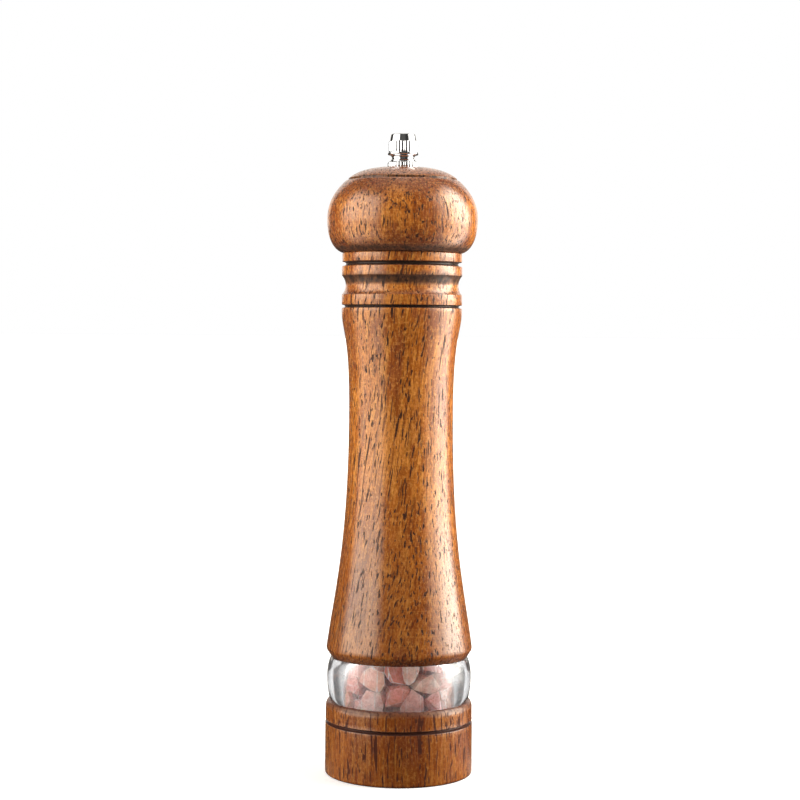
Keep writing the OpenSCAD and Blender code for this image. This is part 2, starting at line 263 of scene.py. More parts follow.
def wood(name, seed, lean=(0.0, 0.0), tone=0.0, streak=1.0, lacquer=True, dot=(0.80, 3.8),
         dash=(0.80, 15.0), dots_from=0.612, dashes_from=0.597, low=0.0, lined=0.62):
    """Stained open-pored wood with its grain along Z. Lengths are in millimetres.

    tone above 0 is darker and below 0 paler, dot and dash are the two kinds of pore (across, along), low
    darkens the foot, and lined is the strength of the fine dark lines."""
    m, tree, shader = material(name)
    sx, sy, sz = (17.3 * seed, 31.7 * seed, 11.9 * seed)
    # the grain wanders
    drift = add(tree, "ShaderNodeTexNoise", {}, {
        "Vector": place(tree, (30, 30, 55), (sx, sy, sz)), "Scale": 1.0, "Detail": 2.0}, out=1)
    shift = add(tree, "ShaderNodeVectorMath", {"operation": "MULTIPLY_ADD"},
                {0: drift, 1: (5.0, 5.0, 0.0), 2: place(tree, (1, 1, 1), (sx, sy, sz), lean)})

    def fibre(across, along, detail, rough=0.5, extra=0.0):
        v = add(tree, "ShaderNodeVectorMath", {"operation": "MULTIPLY_ADD"},
                {0: shift, 1: (1 / across, 1 / across, 1 / along), 2: (extra, extra, extra)})
        return noise_node(tree, v, 1.0, detail, rough)

    broad = fibre(7.0, 90.0, 3.0, 0.6)
    medium = fibre(1.9, 34.0, 3.0, 0.65, 4.1)
    fine = fibre(0.75, 12.0, 2.0, 0.65, 8.3)
    cloud = noise_node(tree, place(tree, (13, 13, 26), (sy, sz, sx)), 1.0, 3.5, 0.62)
    speck = noise_node(tree, place(tree, (0.85, 0.85, 1.3), (sz, sx, sy)), 1.0, 2.0, 0.7)

    base = mix(tree, ramp(tree, broad, 0.30, 0.58), DARK, MID)
    base = mix(tree, ramp(tree, medium, 0.46, 0.70, 0.0, 0.8 * streak), base, LIGHT)
    base = mix(tree, ramp(tree, medium, 0.44, 0.28, 0.0, 0.6 * streak), base, DARK)
    base = mix(tree, ramp(tree, cloud, 0.50, 0.64, 0.0, 0.62), base, CLOUD_DARK)
    base = mix(tree, ramp(tree, cloud, 0.46, 0.32, 0.0, 0.55), base, CLOUD_GOLD)
    base = mix(tree, ramp(tree, fine, 0.35, 0.66, 0.40, 0.0), base, FINE_DARK)
    base = mix(tree, ramp(tree, speck, 0.5, 0.68, 0.0, 0.42), base, SPECK_GOLD)
    base = mix(tree, ramp(tree, speck, 0.48, 0.32, 0.0, 0.45), base, SPECK_DARK)

    lines = fibre(0.85, 60.0, 2.0, 0.5, 5.5)
    base = mix(tree, ramp(tree, lines, 0.585, 0.64, 0.0, lined), base, LINE_DARK)

    # end grain drinks more stain, and so does the foot of the barrel
    co = add(tree, "ShaderNodeTexCoord", out=None)
    if low:
        height = add(tree, "ShaderNodeSeparateXYZ", {}, {0: co.outputs[3]}, out=2)
        base = mix(tree, ramp(tree, height, 0.062, 0.125, low, 0.0), base, FOOT_DARK)
    up = add(tree, "ShaderNodeSeparateXYZ", {}, {0: co.outputs[1]}, out=2)
    up = math_node(tree, "ABSOLUTE", up)
    end = ramp(tree, math_node(tree, "MULTIPLY_ADD", cloud, 0.5, up), 0.45, 0.98, 0.0, 0.76)
    if lacquer:
        base = mix(tree, end, base, END_DARK)
        fleck = math_node(tree, "MULTIPLY", end, ramp(tree, speck, 0.50, 0.62, 0.0, 0.75))
        base = mix(tree, fleck, base, END_FLECK)

    # pores, in patches
    patch = noise_node(tree, place(tree, (9, 9, 20), (sz, sy, sx)), 1.0, 2.0, 0.5)
    small = fibre(dot[0], dot[1], 1.0, 0.5, 2.2)
    large = fibre(dash[0], dash[1], 1.5, 0.5, 6.7)
    gate = ramp(tree, patch, 0.34, 0.62, dots_from + 0.09, dots_from)
    dots = math_node(tree, "SUBTRACT", small, gate)
    dots = ramp(tree, dots, -0.004, 0.018, 0.0, 1.0)
    gate_large = ramp(tree, patch, 0.66, 0.38, dashes_from + 0.10, dashes_from)
    dashes = math_node(tree, "SUBTRACT", large, gate_large)
    dashes = ramp(tree, dashes, -0.004, 0.018, 0.0, 1.0)
    holes = math_node(tree, "MAXIMUM", dots, dashes)
    base = mix(tree, math_node(tree, "MULTIPLY", holes, 0.96), base, PORE)

    # lines left by the lathe
    turned = noise_node(tree, place(tree, (60, 60, 0.5), (sx, sz, sy)), 1.0, 2.0, 0.65)
    base = mix(tree, ramp(tree, turned, 0.42, 0.30, 0.0, 0.22), base, LATHE_DARK)
    base = mix(tree, ramp(tree, turned, 0.58, 0.72, 0.0, 0.16), base, LATHE_GOLD)

    # burnt grooves, and painted shade on the top of the cove and the underside of the head
    soot_and_shade = add(tree, "ShaderNodeAttribute", {"attribute_name": "soot_and_shade"}, out=2)
    rough_edge = noise_node(tree, place(tree, (2.5, 2.5, 2.5), (sy, sx, sz)), 1.0, 3.0, 0.6)
    burnt_and_shaded = math_node(tree, "MULTIPLY_ADD", rough_edge, 0.5, soot_and_shade)
    burnt_and_shaded = ramp(tree, burnt_and_shaded, 0.45, 0.95, 0.0, 0.97)
    base = mix(tree, burnt_and_shaded, base, SOOT_AND_SHADE)
    if tone:
        base = mix(tree, abs(tone), base, DEEPER if tone > 0 else PALER)
    tree.links.new(base, shader.inputs["Base Color"])

    depth = math_node(tree, "MULTIPLY_ADD", holes, -1.0, math_node(tree, "MULTIPLY", turned, 0.35))
    depth = math_node(tree, "MULTIPLY_ADD", fine, 0.15, depth)
    bump = add(tree, "ShaderNodeBump", {}, {"Strength": 0.25 if lacquer else 0.6,
                                           "Distance": 0.00012, "Height": depth})
    tree.links.new(bump, shader.inputs["Normal"])
    rough = ramp(tree, fine, 0.3, 0.7, 0.20 if lacquer else 0.62, 0.30 if lacquer else 0.8)
    dull = math_node(tree, "MAXIMUM", holes, burnt_and_shaded)
    rough = math_node(tree, "MULTIPLY_ADD", dull, 0.78, rough, clamp=True)
    tree.links.new(rough, shader.inputs["Roughness"])
    shader.inputs["Specular IOR Level"].default_value = 0.6 if lacquer else 0.2
    shader.inputs["Specular Tint"].default_value = (1.0, 0.92, 0.76, 1)
    if lacquer:
        shader.inputs["Coat Weight"].default_value = 0.4
        shader.inputs["Coat Roughness"].default_value = 0.12
        shader.inputs["Coat IOR"].default_value = 1.5
        coat_bump = add(tree, "ShaderNodeBump", {}, {"Strength": 0.25, "Distance": 0.0001,
                                                    "Height": depth})
        tree.links.new(coat_bump, shader.inputs["Coat Normal"])
    return m


def metal(name, color, low, high, brushed=None, bump=0.05):
    """Metal with fine wear in its roughness. brushed stretches the grain, in millimetres."""
    m, tree, shader = material(name)
    grain = noise_node(tree, place(tree, brushed or (0.7, 0.7, 0.7)), 1.0, 3.0, 0.6)
    smear = noise_node(tree, place(tree, (5, 5, 4), (3, 1, 7)), 1.0, 2.0)
    tint = mix(tree, ramp(tree, smear, 0.35, 0.7, 0.0, 0.25), color, [c * 0.82 for c in color])
    tree.links.new(tint, shader.inputs["Base Color"])
    tree.links.new(ramp(tree, grain, 0.3, 0.7, low, high), shader.inputs["Roughness"])
    shader.inputs["Metallic"].default_value = 1.0
    normal = add(tree, "ShaderNodeBump", {}, {"Strength": bump, "Distance": 0.00005,
                                             "Height": grain})
    tree.links.new(normal, shader.inputs["Normal"])
    return m


def moulded(name, color, low, high, speck=0.06, specular=0.45):
    """Moulded plastic or fired ceramic with a fine tooth."""
    m, tree, shader = material(name)
    tooth = noise_node(tree, place(tree, (0.35, 0.35, 0.35)), 1.0, 3.0, 0.6)
    blot = noise_node(tree, place(tree, (4, 4, 4), (5, 2, 9)), 1.0, 3.0)
    tint = mix(tree, ramp(tree, blot, 0.3, 0.7, 0.0, 0.5), color, [c * (1 - 3 * speck) for c in color])
    tint = mix(tree, ramp(tree, tooth, 0.55, 0.75, 0.0, speck * 3), tint, [c * 0.5 for c in color])
    tree.links.new(tint, shader.inputs["Base Color"])
    tree.links.new(ramp(tree, tooth, 0.3, 0.7, low, high), shader.inputs["Roughness"])
    shader.inputs["Specular IOR Level"].default_value = specular
    normal = add(tree, "ShaderNodeBump", {}, {"Strength": 0.25, "Distance": 0.00006,
                                             "Height": tooth})
    tree.links.new(normal, shader.inputs["Normal"])
    return m


def clear(name, dust=0.0):
    """Clear acrylic, with faint waves and a few rubbed spots, and salt dust on it in patches."""
    m, tree, shader = material(name)
    wave = noise_node(tree, place(tree, (9, 9, 7)), 1.0, 2.0)
    rub = noise_node(tree, place(tree, (1.1, 1.1, 1.6), (4, 4, 4)), 1.0, 4.0, 0.7)
    tint = mix(tree, ramp(tree, rub, 0.60, 0.8, 0.0, 0.25), (0.985, 0.99, 0.995), (0.86, 0.87, 0.88))
    rough = ramp(tree, rub, 0.60, 0.85, 0.0, 0.12)
    if dust:
        film = noise_node(tree, place(tree, (4.0, 4.0, 3.0), (7, 1, 3)), 1.0, 4.0, 0.7)
        film = ramp(tree, film, 0.35, 0.75, 0.03, dust)
        tint = mix(tree, ramp(tree, film, 0.0, dust), tint, (0.88, 0.48, 0.39))
        tree.links.new(math_node(tree, "SUBTRACT", 1.0, film), shader.inputs["Transmission Weight"])
        rough = math_node(tree, "MAXIMUM", rough, math_node(tree, "MULTIPLY", film, 0.25))
    else:
        shader.inputs["Transmission Weight"].default_value = 1.0
    tree.links.new(tint, shader.inputs["Base Color"])
    tree.links.new(rough, shader.inputs["Roughness"])
    shader.inputs["IOR"].default_value = 1.49
    normal = add(tree, "ShaderNodeBump", {}, {"Strength": 0.06, "Distance": 0.0004, "Height": wave})
    tree.links.new(normal, shader.inputs["Normal"])
    return m


def salt():
    """Rock salt, pink to white, cloudy, with each facet's colour held in the mesh."""
    m, tree, shader = material("rock_salt")
    tint = add(tree, "ShaderNodeAttribute", {"attribute_name": "tint"}, out=0)
    vein = noise_node(tree, place(tree, (3.2, 3.2, 3.2)), 1.0, 4.0, 0.65, 0.6)
    frost = noise_node(tree, place(tree, (1.6, 1.6, 1.6), (2, 8, 5)), 1.0, 4.0, 0.65)
    base = mix(tree, ramp(tree, vein, 0.54, 0.74, 0.0, 0.35), tint, (0.85, 0.27, 0.15))
    base = mix(tree, ramp(tree, vein, 0.46, 0.30, 0.0, 0.40), base, (0.95, 0.70, 0.60))
    base = mix(tree, ramp(tree, frost, 0.55, 0.75, 0.0, 0.22), base, (0.95, 0.80, 0.74))
    tree.links.new(base, shader.inputs["Base Color"])
    tree.links.new(ramp(tree, frost, 0.3, 0.7, 0.14, 0.40), shader.inputs["Roughness"])
    shader.inputs["IOR"].default_value = 1.54
    shader.inputs["Subsurface Weight"].default_value = 0.7
    shader.inputs["Transmission Weight"].default_value = 0.12
    shader.inputs["Subsurface Radius"].default_value = (1.0, 0.45, 0.32)
    shader.inputs["Subsurface Scale"].default_value = 0.004
    normal = add(tree, "ShaderNodeBump", {}, {"Strength": 0.22, "Distance": 0.0003,
                                             "Height": frost})
    tree.links.new(normal, shader.inputs["Normal"])
    return m


WOOD_HEAD = wood("wood_head", 1.7, lean=(0.05, 0.0), dot=(0.72, 2.6), dash=(0.75, 7.0),
                 dots_from=0.60)
WOOD_BARREL = wood("wood_barrel", 4.3, lean=(-0.12, 0.04), low=0.42)
WOOD_BASE = wood("wood_base", 7.9, streak=0.9, tone=0.42, dot=(1.0, 5.0), dash=(1.1, 11.0),
                 dots_from=0.615, dashes_from=0.580, lined=0.2)
WOOD_RAW = wood("wood_raw", 2.6, tone=-0.5, lacquer=False)
CHROME = metal("chrome", (0.80, 0.82, 0.85), 0.05, 0.12)
STEEL = metal("zinc_steel", (0.62, 0.63, 0.65), 0.24, 0.42, brushed=(0.4, 6, 6), bump=0.2)
ALUMINIUM = metal("aluminium", (0.78, 0.79, 0.80), 0.22, 0.38, brushed=(0.3, 0.3, 9), bump=0.2)
CERAMIC = moulded("ceramic", (0.84, 0.82, 0.77), 0.35, 0.6, 0.04)
BLACK = moulded("black_plastic", (0.022, 0.022, 0.024), 0.35, 0.55)
NYLON = moulded("white_plastic", (0.74, 0.72, 0.66), 0.35, 0.55, 0.03)
CLEAR = clear("clear_acrylic")
DUSTY = clear("dusty_acrylic", dust=0.15)
SALT = salt()

# ---------------------------------------------------------------- levels, as in the CAD model

BASE_R, BASE_H = 29.5, 29.6
WINDOW_TOP = 47.1
BORE_R, CHAMBER_R = 22.0, 14.5
WAIST_R, WAIST_Z = 20.8, 145.2
NECK_R, NECK_TOP = 24.0, 208.6
BODY_TOP = 186.1
HEAD_R, HEAD_TOP = 30.0, 242.5
EQUATOR_Z = NECK_TOP + 12.9
CAP_R, CAP_Z = 22.5, HEAD_TOP - 5.4
TONGUE_IN, TONGUE_OUT, TONGUE_H = 23.2, 25.2, 2.5
MOUTH_R, MOUTH_Z = 18.0, 194.1
TENON_R, TENON_Z = 17.7, 196.6


def replace(obj, node, body):
    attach(obj, body)
    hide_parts(node)
    return obj


# ---------------------------------------------------------------- wood

def near(z, low, high, soft):
    """1 between two heights, falling to 0 over soft millimetres on each side."""
    return max(0.0, min(1.0, (z - low) / soft + 1.0, (high - z) / soft + 1.0))


def base_soot(r, z):
    """The burnt line and a darker lip."""
    return max(0.95 * near(z, 20.90, 21.80, 0.60), 0.46 * near(z, 28.2, BASE_H, 2.2)) if r > 27 else 0.0


base_rows = ([(23.2, 0.0)] + arc(BASE_R - 1, 1.0, 1.0, -90, 0, 8)
             + [(BASE_R, z) for z in np.linspace(2, 20.3, 10)]
             + groove(BASE_R - 0.05, 20.7, 22.0, 1.3)
             + [(BASE_R - 0.15, z) for z in np.linspace(22.6, 26.2, 4)]
             + eased((BASE_R - 0.15, 26.8), (BASE_R - 1.5, BASE_H), 10)
             + [(TONGUE_OUT, BASE_H), (TONGUE_OUT, BASE_H - TONGUE_H), (TONGUE_IN, BASE_H - TONGUE_H),
                (TONGUE_IN, BASE_H), (BORE_R, BASE_H), (CHAMBER_R, 22.0), (18.15, 22.0), (18.15, 4.0),
                (23.2, 4.0)])
base_rows = soften(base_rows, 0.3)
base = spin("base_turned", base_rows, [WOOD_BASE, WOOD_RAW],
            inner=lambda i: base_rows[i][0] < 26.5 and base_rows[i][1] > 0.3,
            soot_and_shade=base_soot)
replace(base, "base_ring", "body")

cove_low, cove_high, cove_depth = BODY_TOP + 5.6, BODY_TOP + 13.3, 1.5
half = (cove_high - cove_low) / 2
cove_r = (half**2 + cove_depth**2) / (2 * cove_depth)
cove_a = math.degrees(math.asin(half / cove_r))
barrel_rows = ([(BORE_R, WINDOW_TOP), (TONGUE_IN, WINDOW_TOP), (TONGUE_IN, WINDOW_TOP + TONGUE_H),
                (TONGUE_OUT, WINDOW_TOP + TONGUE_H), (TONGUE_OUT, WINDOW_TOP), (27.2, WINDOW_TOP),
                (29.0, WINDOW_TOP + 2.8)]
               + bezier((29.2, 50.8), (26.0, 74.5), (WAIST_R, 92.5), (WAIST_R, WAIST_Z), 60)
               + bezier((WAIST_R, WAIST_Z), (WAIST_R, WAIST_Z + 32), (NECK_R, BODY_TOP - 9.6),
                        (NECK_R, BODY_TOP), 40)[1:]
               + groove(NECK_R - 0.1, BODY_TOP + 0.4, BODY_TOP + 1.6, 1.2)
               + [(NECK_R, BODY_TOP + 2.1), (NECK_R, BODY_TOP + 4.0)]
               + arc(NECK_R - cove_depth + cove_r, (cove_low + cove_high) / 2, cove_r,
                     180 + cove_a, 180 - cove_a, 20)
               + [(NECK_R, cove_high + 0.2), (NECK_R, BODY_TOP + 16.6)]
               + groove(NECK_R - 0.15, BODY_TOP + 17.0, BODY_TOP + 18.7, 1.5)
               + [(NECK_R - 0.1, NECK_TOP - 0.5), (NECK_R - 0.5, NECK_TOP), (MOUTH_R, NECK_TOP),
                  (MOUTH_R, MOUTH_Z), (CHAMBER_R, MOUTH_Z), (CHAMBER_R, 60.1), (BORE_R, 52.6)])
barrel_rows = soften(barrel_rows, 0.35)


def barrel_soot_and_shade(r, z):
    """The burnt grooves, the top of the cove, burnt and partly painted shade where it faces down, and
    darker ends.
    """
    if r < 21:
        return 0.0
    return max(0.8 * near(z, BODY_TOP + 0.65, BODY_TOP + 1.35, 0.4),
               0.85 * near(z, BODY_TOP + 17.4, BODY_TOP + 18.3, 0.5),
               0.28 * near(z, WINDOW_TOP, WINDOW_TOP + 2.2, 1.0),
               # the top of the cove: burnt, and partly painted shade on the slope that faces down
               0.58 * near(z, cove_high - 2.8, cove_high - 0.5, 2.4),
               0.30 * near(z, NECK_TOP - 0.2, NECK_TOP, 0.5))


barrel = spin("barrel_turned", barrel_rows, [WOOD_BARREL, WOOD_RAW],
              inner=lambda i: barrel_rows[i][0] < 18.3 or (
                  barrel_rows[i][0] < 26.5 and barrel_rows[i][1] < 55 and barrel_rows[i][1] > 46.4
                  and barrel_rows[i][0] < 25.5),
              soot_and_shade=barrel_soot_and_shade)
replace(barrel, "barrel", "body")

def head_soot_and_shade(r, z):
    """The line round the cap, and painted shade on the underside, which faces down."""
    cap = 0.55 * near(r, CAP_R - 0.90, CAP_R - 0.42, 0.3) if z > CAP_Z - 0.7 else 0.0
    # painted shade on the underside of the head
    return max(cap, 0.52 * near(z, NECK_TOP, NECK_TOP + 1.4, 2.8) if r > 20 else 0.0)


head_rows = ([(3.9, TENON_Z), (TENON_R - 0.6, TENON_Z), (TENON_R, TENON_Z + 0.6), (TENON_R, NECK_TOP),
              (24.3, NECK_TOP)]
             + bezier((24.6, NECK_TOP + 0.1), (27.4, NECK_TOP + 1.4), (HEAD_R, EQUATOR_Z - 7.6),
                      (HEAD_R, EQUATOR_Z), 32)
             + bezier((HEAD_R, EQUATOR_Z), (HEAD_R, EQUATOR_Z + 2.3), (HEAD_R, CAP_Z - 6.5),
                      (CAP_R, CAP_Z), 36)[1:]
             + [(CAP_R - 0.8, CAP_Z - 0.4), (CAP_R - 0.9, CAP_Z + 0.6)]
             + bezier((CAP_R - 0.9, CAP_Z + 0.8), (18.5, CAP_Z + 3.6), (13.5, HEAD_TOP - 0.4),
                      (6.55, HEAD_TOP), 24)
             + [(4.2, HEAD_TOP), (4.2, HEAD_TOP - 9), (3.9, HEAD_TOP - 9)])
head_rows = soften(head_rows, 0.3)
head = spin("head_turned", head_rows, [WOOD_HEAD, WOOD_RAW],
            inner=lambda i: head_rows[i][0] < 17.8 and head_rows[i][1] < NECK_TOP + 0.1
            or head_rows[i][0] < 4.4,
            soot_and_shade=head_soot_and_shade)
replace(head, "head", "head")

# ---------------------------------------------------------------- window

window_rows = ([(BORE_R, BASE_H), (TONGUE_IN + 0.05, BASE_H), (TONGUE_IN + 0.05, BASE_H - TONGUE_H + 0.05),
                (TONGUE_OUT - 0.05, BASE_H - TONGUE_H + 0.05), (TONGUE_OUT - 0.05, BASE_H)]
               + bezier((27.6, BASE_H), (29.0, BASE_H + 4), (29.8, WINDOW_TOP - 4), (27.1, WINDOW_TOP), 40)
               + [(TONGUE_OUT - 0.05, WINDOW_TOP), (TONGUE_OUT - 0.05, WINDOW_TOP + TONGUE_H - 0.05),
                  (TONGUE_IN + 0.05, WINDOW_TOP + TONGUE_H - 0.05), (TONGUE_IN + 0.05, WINDOW_TOP),
                  (BORE_R, WINDOW_TOP)])
window_rows = soften(window_rows, 0.25)
window = spin("window_polished", window_rows, [CLEAR, DUSTY], count=256,
              inner=lambda i: window_rows[i][0] < BORE_R + 0.1)
replace(window, "window_ring", "body")

# ---------------------------------------------------------------- salt


SALT_TINTS = [(0.88, 0.29, 0.19), (0.95, 0.51, 0.39), (0.80, 0.17, 0.10), (0.93, 0.43, 0.23),
              (0.90, 0.35, 0.26), (0.86, 0.17, 0.04), (0.97, 0.66, 0.49)]
LUMPS_MOST, LUMP_TRIES, LUMP_SIZE, LUMP_EDGE = 190, 12000, (3.5, 5.4), 0.22
LUMP_GAP, CHIPPED, LEAST_CUT, SALT_WALL = 0.015, (0.38, 1.0), 0.3, 21.3
GOLDEN = 0.618


def lump_cuts(rng, p, s, lumps):
    """The planes (normal, distance from p) that shape a lump of size s at p."""
    cuts = []
    for q, t in lumps:
        d = q - p
        gap = np.linalg.norm(d)
        if 0 < gap < 2.2 * (s + t):
            cuts.append((d / gap, gap * s / (s + t) - LUMP_GAP))
    for _ in range(5):
        u = rng.normal(size=3)
        u /= np.linalg.norm(u)
        cuts.append((u, s * rng.uniform(*CHIPPED)))
    # the wall, the spindle, the floor of the chamber, and the funnel in the base
    r = math.hypot(p[0], p[1])
    u = np.array([p[0], p[1], 0]) / r
    top = SALT_WALL if 29.5 < p[2] < 51 else SALT_WALL - 2.5
    for swing in (-0.25, 0.0, 0.25):
        c, w = math.cos(swing), math.sin(swing)
        v = np.array([u[0] * c - u[1] * w, u[0] * w + u[1] * c, 0])
        cuts.append((v, top - r * math.cos(swing)))
    cuts.append((-u, r - 3.9))
    cuts.append((np.array([0, 0, -1.0]), p[2] - 22.4))
    if p[2] < 31:
        v = np.array([u[0] * 0.692, u[1] * 0.692, -0.722])
        cuts.append((v, 0.692 * (18.6 - r) + 0.722 * (p[2] - 26.0) + 0.2))
    return cuts


def salt_lumps():
    """Lumps packed in the ring under the barrel: each is a rough cell cut back from its neighbours."""
    rng = np.random.default_rng(11)
    low, high = 23.6, 57.0
    pts, size = [], []
    tries = 0
    while len(pts) < LUMPS_MOST and tries < LUMP_TRIES:
        tries += 1
        a = rng.uniform(0, 2 * math.pi)
        z = rng.uniform(low, high)
        reach = 20.0 if 30 < z < 50 else (15.5 + (z - low) * 0.7 if z < 30 else 20.0 - (z - 50) * 0.85)
        r = reach - abs(rng.normal(0, 4.5))
        if r < 5.2:
            continue
        p = np.array([r * math.cos(a), r * math.sin(a), z])
        s = rng.uniform(*LUMP_SIZE)
        if all(np.linalg.norm(p - q) > 0.75 * (s + t) for q, t in zip(pts, size)):
            pts.append(p)
            size.append(s)
    verts, faces, tints = [], [], []
    for n, (p, s) in enumerate(zip(pts, size)):
        bm = bmesh.new()
        bmesh.ops.create_cube(bm, size=2 * s * 1.45)
        turn = Matrix.Rotation(rng.uniform(0, 6.28), 3, Vector(rng.normal(size=3)).normalized())
        bmesh.ops.rotate(bm, cent=(0, 0, 0), matrix=turn, verts=bm.verts)
        r = math.hypot(p[0], p[1])
        cuts = lump_cuts(rng, p, s, list(zip(pts, size)))
        for u, dist in cuts:
            geom = bm.verts[:] + bm.edges[:] + bm.faces[:]
            cut = bmesh.ops.bisect_plane(bm, geom=geom, plane_co=Vector(u) * max(dist, LEAST_CUT),
                                         plane_no=Vector(u), clear_outer=True)
            edges = [e for e in cut["geom_cut"] if isinstance(e, bmesh.types.BMEdge)]
            if edges:
                bmesh.ops.contextual_create(bm, geom=edges)
        bmesh.ops.remove_doubles(bm, verts=bm.verts, dist=0.08)
        facet = bm.faces.layers.int.new("facet")
        bevel = bmesh.ops.bevel(bm, geom=bm.edges[:] + bm.verts[:], offset=LUMP_EDGE, segments=1,
                                affect="EDGES", clamp_overlap=True)
        for i, f in enumerate(bm.faces):
            f[facet] = i + 1
        for f in bevel["faces"]:
            f[facet] = 0
        bmesh.ops.triangulate(bm, faces=bm.faces)
        bmesh.ops.subdivide_edges(bm, edges=[e for e in bm.edges if e.calc_length() > 1.3], cuts=2,
                                  use_grid_fill=True)
        bmesh.ops.triangulate(bm, faces=bm.faces)
        bmesh.ops.dissolve_degenerate(bm, edges=bm.edges, dist=0.02)
        bmesh.ops.triangulate(bm, faces=bm.faces)
        bmesh.ops.recalc_face_normals(bm, faces=bm.faces)
        bm.verts.ensure_lookup_table()
        start = len(verts)
        tint = SALT_TINTS[int(n * 2.7) % len(SALT_TINTS)]
        face_pale = min(max((r - 12) / 5, 0), 1) * (0.05 + 0.30 * (n * GOLDEN % 1))
        for v in bm.verts:
            co = Vector(p) + v.co
            push = noise.noise(co * 0.7) * 0.10 + noise.noise(co * 2.1) * 0.04 - 0.06
            co = co + v.normal * push
            verts.append(tuple(co))
        for f in bm.faces:
            faces.append(tuple(start + v.index for v in f.verts))
            pale = 0.75 if f[facet] == 0 else face_pale
            deep = 1.0 if f[facet] == 0 else 0.72 + 0.28 * (f[facet] * GOLDEN % 1)
            tints += [[(c + (0.97 - c) * pale) * deep for c in tint] + [1.0]] * 3
        bm.free()
    obj = finish_mesh("salt_lumps", verts, faces, [SALT], sharp=9)
    layer = obj.data.attributes.new("tint", "FLOAT_COLOR", "CORNER")
    layer.data.foreach_set("color", [c for t in tints for c in t])
    return obj


replace(salt_lumps(), "salt_crystals", "body")

# ---------------------------------------------------------------- nut and ferrule

FLUTES = 30
NUT_FLUTE, FERRULE_FLUTE = 0.22, 0.20


def flute(angle):
    """0 on a ridge's crest, 1 in the bottom of the flute."""
    return 0.5 - 0.5 * math.cos(angle * FLUTES)


nut_z = HEAD_TOP + 2.4
nut_plain = [(0, nut_z + 9.7), (2.3, nut_z + 9.65), (2.58, nut_z + 9.4), (2.58, nut_z + 0.4),
             (3.0, nut_z), (4.75, nut_z)]
nut_plain += arc(5.6, nut_z + 1.3, 1.1, 230, 130, 12)
nut_plain += [(5.9, nut_z + 2.45), (6.1, nut_z + 2.7), (6.15, nut_z + 3.0), (6.05, nut_z + 3.3),
              (5.75, nut_z + 3.5)]
knurl_from = len(nut_plain)
nut_rows = nut_plain + [(5.45, nut_z + 3.55), (5.72, nut_z + 3.85)]
nut_rows += [(5.75, z) for z in np.linspace(nut_z + 4.0, nut_z + 7.3, 6)] + [(5.70, nut_z + 7.6)]
knurl_to = len(nut_rows)
nut_rows += [(5.38, nut_z + 7.85), (5.36, nut_z + 7.95), (4.95, nut_z + 10.3), (4.85, nut_z + 10.55),
             (4.6, nut_z + 10.75), (4.3, nut_z + 10.8), (0, nut_z + 10.8)]


def nut_radius(i, r, z, a):
    return r - NUT_FLUTE * flute(a) if knurl_from < i < knurl_to else r


nut = spin("nut_knurled", nut_rows, [CHROME], count=FLUTES * 10, closed=False, radius=nut_radius)
replace(nut, "adjusting_nut", "nut")

ferrule_rows = [(2.65, HEAD_TOP - 8), (4.15, HEAD_TOP - 8), (4.15, HEAD_TOP - 0.02), (5.9, HEAD_TOP),
                (6.12, HEAD_TOP + 0.2), (6.15, HEAD_TOP + 0.5), (6.15, HEAD_TOP + 1.5),
                (6.0, HEAD_TOP + 1.8), (5.45, HEAD_TOP + 2.3), (5.2, HEAD_TOP + 2.38),
                (5.0, HEAD_TOP + 2.4), (2.9, HEAD_TOP + 2.4), (2.65, HEAD_TOP + 2.2)]


def ferrule_radius(i, r, z, a):
    return r - FERRULE_FLUTE * flute(a) if 4 <= i <= 7 else r


ferrule = spin("ferrule_knurled", ferrule_rows, [CHROME], count=FLUTES * 10, radius=ferrule_radius)
replace(ferrule, "top_ferrule", "head")

# ---------------------------------------------------------------- spring

SPRING_LOW, SPRING_HIGH, SPRING_R, WIRE_R = 10.0, 16.5, 5.0, 0.4


def coil():
    """A pressed coil spring: close at both ends, open between, with its ends ground flat."""
    turns, steps, sides = 5.0, 260, 12
    low, high = SPRING_LOW + WIRE_R * 0.72, SPRING_HIGH - WIRE_R * 0.72
    closed = 2.05 * WIRE_R
    verts, faces = [], []
    for i in range(steps + 1):
        t = i / steps * turns
        if t < 1:
            z = low + closed * 0.5 * t
        elif t > turns - 1:
            z = high - closed * 0.5 * (turns - t)
        else:
            u = (t - 1) / (turns - 2)
            ease = u * u * (3 - 2 * u) * 0.25 + u * 0.75
            z = low + closed * 0.5 + (high - low - closed) * ease
        a = 2 * math.pi * t
        for k in range(sides):
            b = 2 * math.pi * k / sides
            r = SPRING_R + WIRE_R * math.cos(b)
            height = max(SPRING_LOW, min(SPRING_HIGH, z + WIRE_R * math.sin(b)))
            verts.append((r * math.cos(a), r * math.sin(a), height))
    for i in range(steps):
        for k in range(sides):
            n = (k + 1) % sides
            faces.append((i * sides + k, (i + 1) * sides + k, (i + 1) * sides + n, i * sides + n))
    faces.append(tuple(range(sides)))
    faces.append(tuple(steps * sides + k for k in reversed(range(sides))))
    return finish_mesh("spring_coil", verts, faces, [STEEL], sharp=60)


spring = coil()
replace(spring, "spring", "bushing")
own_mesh(spring)

# ---------------------------------------------------------------- CAD nodes that show as they are

SURFACES = {"drive_plate": STEEL, "drive_plate_screws": STEEL, "spindle": ALUMINIUM,
            "grinder_housing": BLACK, "spindle_bushing": NYLON, "thrust_washer": STEEL,
            "stator": CERAMIC, "rotor": CERAMIC, "rotor_core": NYLON, "rotor_washer": STEEL,
            "rotor_screw": STEEL, "retaining_plate": STEEL, "retaining_screws": STEEL}
for name, mat in SURFACES.items():
    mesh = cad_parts[name].data
    mesh.materials.clear()
    mesh.materials.append(mat)

# ---------------------------------------------------------------- floor, light and camera


def soft_box(tree, turn, az0, az1, soft, strength):
    """A soft box's strength against its bearing in degrees: 0 in front of the mill, 90 to its right."""
    a = ramp(tree, turn, az0 - soft, az0 + soft, 0.0, strength)
    return math_node(tree, "MULTIPLY", a, ramp(tree, turn, az1 - soft, az1 + soft, 1.0, 0.0))


